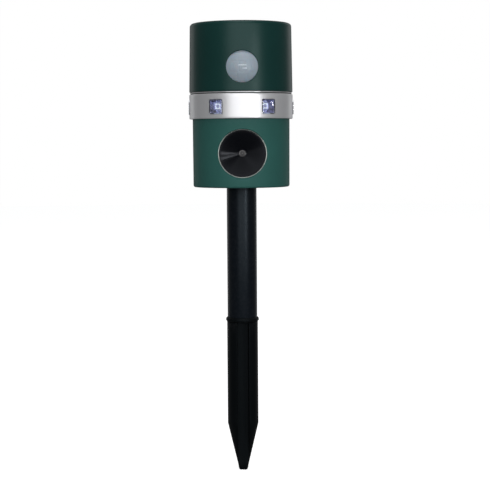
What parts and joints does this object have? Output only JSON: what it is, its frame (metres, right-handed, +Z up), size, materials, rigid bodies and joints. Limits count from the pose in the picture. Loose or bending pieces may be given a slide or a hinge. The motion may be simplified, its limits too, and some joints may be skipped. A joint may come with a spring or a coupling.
{
  "type": "ultrasonic pest repeller",
  "caption": "Garden animal repeller on a spiked pole: round head with motion lens and solar top, band of flash windows, ultrasonic speaker below.",
  "frame": {"origin": "on the pole's axis at ground level, under the stake's collar", "axes": "+Z up along the pole; the lens and the speaker face -Y; +X is to the right seen from the front"},
  "size_m": [0.0874, 0.0883, 0.3765],
  "materials": {
    "stake_plastic": "satin",
    "pole_black": "satin",
    "cap_plastic": "satin",
    "housing_green": "satin",
    "head_green": "satin",
    "band_silver": "satin",
    "seal_rubber": "matte",
    "screw_steel": "satin",
    "window_clear": "gloss",
    "reflector_silver": "gloss",
    "flash_white": "gloss",
    "lens_milky": "satin",
    "dark_plastic": "matte",
    "sensor_metal": "satin",
    "board_green": "satin",
    "cover_clear": "gloss",
    "solar_cells": "gloss",
    "cell_wrap": "gloss",
    "rim_metal": "satin",
    "cone_black": "gloss",
    "piezo_brass": "satin",
    "transformer_core": "satin",
    "part_black": "satin",
    "dial_black": "satin",
    "button_grey": "matte",
    "flap_rubber": "matte",
    "lead_red": "satin"
  },
  "bodies": {
    "ground": {"stake": "stake_plastic", "pole_tube": "pole_black", "pole_cap": "cap_plastic"},
    "unit": {"lower_housing": "housing_green", "led_band": "band_silver", "head_shell": "head_green", "head_seal": "seal_rubber", "body_seal": "seal_rubber", "housing_screws": "screw_steel", "small_screws": "screw_steel", "led_window_1": "window_clear", "led_window_2": "window_clear", "led_window_3": "window_clear", "led_window_4": "window_clear", "led_window_5": "window_clear", "led_window_6": "window_clear", "led_reflector_1": "reflector_silver", "led_reflector_2": "reflector_silver", "led_reflector_3": "reflector_silver", "led_reflector_4": "reflector_silver", "led_reflector_5": "reflector_silver", "led_reflector_6": "reflector_silver", "flash_led_1": "flash_white", "flash_led_2": "flash_white", "flash_led_3": "flash_white", "flash_led_4": "flash_white", "flash_led_5": "flash_white", "flash_led_6": "flash_white", "pir_lens": "lens_milky", "sensor_shroud": "dark_plastic", "pir_sensor": "sensor_metal", "pir_board": "board_green", "solar_cover": "cover_clear", "solar_panel": "solar_cells", "solar_gasket": "seal_rubber", "battery_cell": "cell_wrap", "battery_cradle": "dark_plastic", "battery_contacts": "screw_steel", "speaker_rim": "rim_metal", "speaker_cone": "cone_black", "speaker_cap": "cone_black", "speaker_frame": "dark_plastic", "speaker_element": "piezo_brass", "speaker_gasket": "seal_rubber", "speaker_clamp": "screw_steel", "main_board": "board_green", "driver_transformer": "transformer_core", "board_parts": "part_black", "control_board": "board_green", "mode_switch": "dark_plastic", "button_switch": "sensor_metal", "charge_socket": "sensor_metal", "solar_lead": "lead_red", "battery_lead": "lead_red", "speaker_lead": "lead_red", "pir_lead": "lead_red"},
    "dial": {"mode_dial": "dial_black", "mode_shaft": "screw_steel"},
    "button": {"power_button": "button_grey"},
    "flap": {"charge_flap": "flap_rubber"}
  },
  "joints": [
    {"name": "unit_swivel", "type": "hinge", "parent": "ground", "child": "unit", "pos_m": [0, 0, 0.125], "axis": [0, 0, 1], "continuous": true},
    {"name": "mode_dial_turn", "type": "hinge", "parent": "unit", "child": "dial", "pos_m": [0, 0.035, 0.151], "axis": [0, 1, 0], "range_deg": [-120, 120]},
    {"name": "power_button_push", "type": "slide", "parent": "unit", "child": "button", "axis": [0, -1, 0], "range_m": [0, 0.0012], "stiffness_N_per_m": 1500},
    {"name": "charge_flap_lift", "type": "hinge", "parent": "unit", "child": "flap", "pos_m": [0.0058, 0.0358, 0.1324], "axis": [1, 0, 0], "range_deg": [0, 90]}
  ]
}
